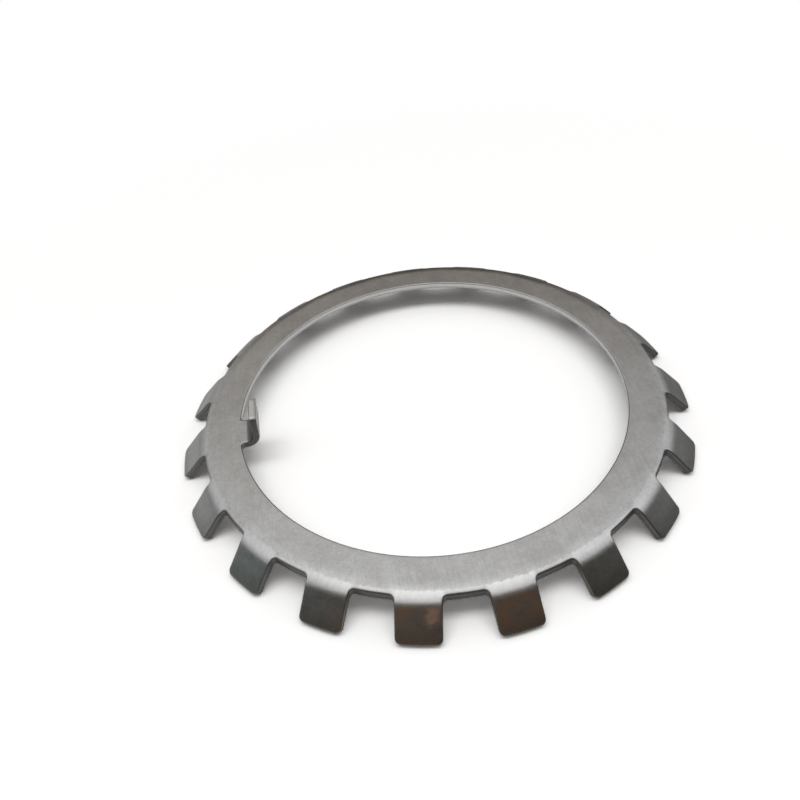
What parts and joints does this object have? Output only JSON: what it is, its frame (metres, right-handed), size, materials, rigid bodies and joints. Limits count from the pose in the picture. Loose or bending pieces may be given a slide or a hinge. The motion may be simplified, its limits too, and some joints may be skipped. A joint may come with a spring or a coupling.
{
  "type": "bearing lock washer",
  "caption": "Stamped steel ring with a crown of tabs bent down around its rim and a tang bent up in the bore; keys to a shaft and locks a bearing nut against turning.",
  "frame": {"origin": "centre of the bore, on the upper flat face of the ring", "axes": "+Z out of the upper face, against the way the tabs are bent; the tang and one tab stand on the -X side; mirror plane XZ"},
  "size_m": [0.1265, 0.1268, 0.0154],
  "materials": {
    "steel": "bare satin sheet steel with a fine grain"
  },
  "bodies": {
    "root": {"lock_washer": "steel"}
  },
  "joints": []
}
